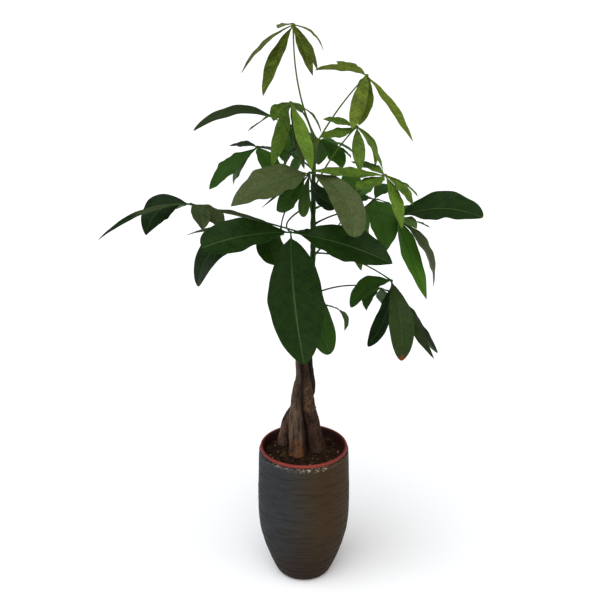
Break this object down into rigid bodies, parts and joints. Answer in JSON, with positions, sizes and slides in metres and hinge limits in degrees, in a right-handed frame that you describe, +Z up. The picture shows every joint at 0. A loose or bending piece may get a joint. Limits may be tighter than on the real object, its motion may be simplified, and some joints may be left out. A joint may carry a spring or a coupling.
{
  "type": "potted money tree",
  "caption": "Indoor money tree with loosely braided trunks and palm-shaped compound leaves, in a nursery pot set in a grooved ceramic cover pot.",
  "frame": {"origin": "centre of the cover pot's flat base, on the surface it stands on", "axes": "+Z up along the pot's axis; -Y is the side the plant is seen from, +X to its right"},
  "size_m": [0.7238, 0.431, 1.1784],
  "materials": {
    "ceramic": "dark grey-brown, satin, with turned grooves and a worn, speckled rim",
    "plastic": "brick-red moulded nursery pot, satin",
    "soil": "brown potting soil with bark chips and pale grains",
    "bark": "grey-brown bark with fine lengthwise streaks and pale specks",
    "green_stem": "dark green young stem, slightly woody",
    "leaf_mature": "living leaf, dark green with a soft waxy sheen and paler veins",
    "leaf_young": "living leaf, fresh yellow-green with a soft sheen"
  },
  "bodies": {
    "root": {"cover_pot": "ceramic", "nursery_pot": "plastic", "soil": "soil", "trunk_front": "bark", "trunk_right": "bark", "trunk_back": "bark", "stem": "green_stem", "leaf_01": "leaf_young", "leaf_02": "leaf_young", "leaf_03": "leaf_young", "leaf_04": "leaf_young", "leaf_05": "leaf_mature", "leaf_06": "leaf_mature", "leaf_07": "leaf_mature", "leaf_08": "leaf_mature", "leaf_09": "leaf_young", "leaf_10": "leaf_mature", "leaf_11": "leaf_mature", "leaf_12": "leaf_mature", "leaf_13": "leaf_mature", "leaf_14": "leaf_mature", "leaf_15": "leaf_mature", "leaf_16": "leaf_mature", "leaf_17": "leaf_mature", "leaf_18": "leaf_mature"}
  },
  "joints": []
}
